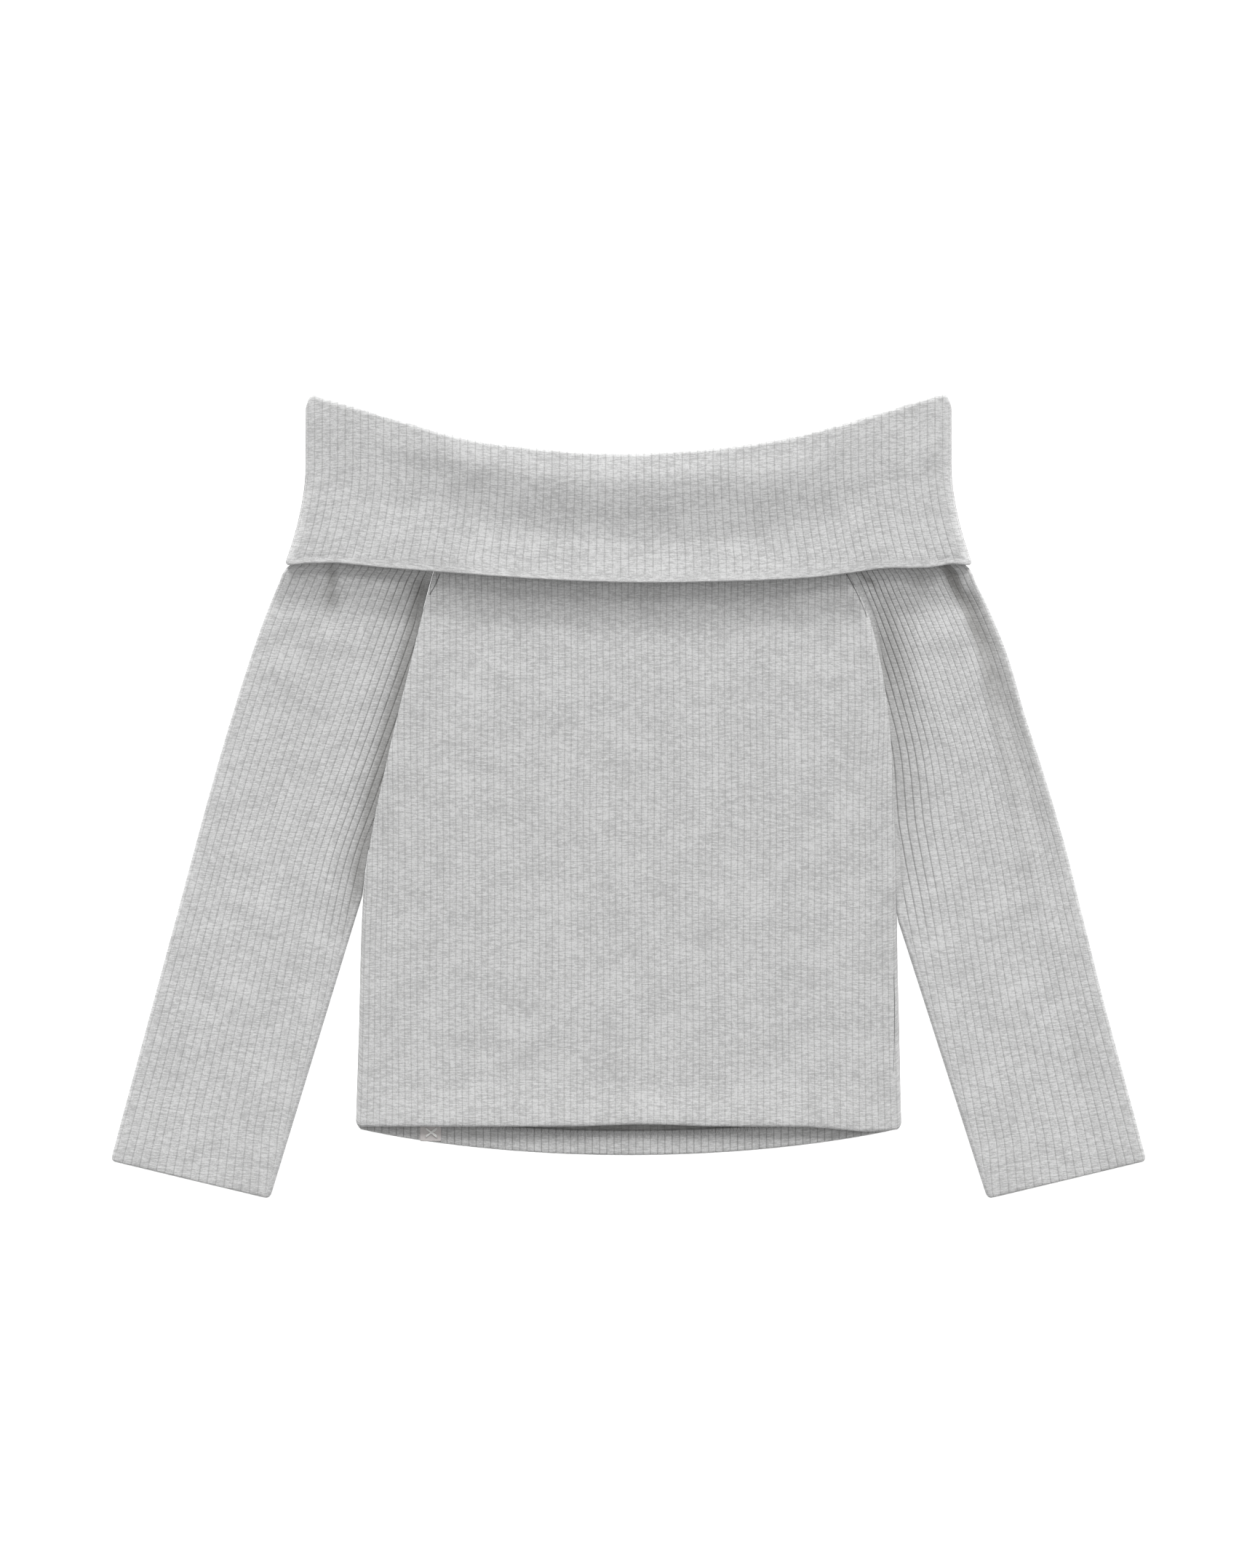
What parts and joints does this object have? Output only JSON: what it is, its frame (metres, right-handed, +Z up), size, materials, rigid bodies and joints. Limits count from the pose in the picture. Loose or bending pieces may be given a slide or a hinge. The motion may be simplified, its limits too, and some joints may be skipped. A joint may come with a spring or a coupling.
{
  "type": "off-the-shoulder rib-knit top",
  "caption": "Off-the-shoulder long-sleeved top in rib knit with a deep fold-over collar, laid out flat on its back to rest on a table, shelf or bed.",
  "frame": {"origin": "on the surface that the garment lies on, under the middle of its outline", "axes": "+X to the right across the front as it is seen from above, +Y from hem to collar, +Z up out of the surface"},
  "size_m": [0.758, 0.5882, 0.018],
  "materials": {
    "body_knit": "soft light grey marl jersey in a wide flat rib, matt",
    "sleeve_knit": "the body's light grey marl rib, matt",
    "collar_knit": "the same rib knit taken double, matt",
    "label_tape": "plain pale woven tape, blank"
  },
  "bodies": {
    "root": {"front_panel": "body_knit", "back_panel": "body_knit", "left_sleeve": "sleeve_knit", "right_sleeve": "sleeve_knit", "collar_front": "collar_knit", "collar_back": "collar_knit", "label": "label_tape"}
  },
  "joints": []
}
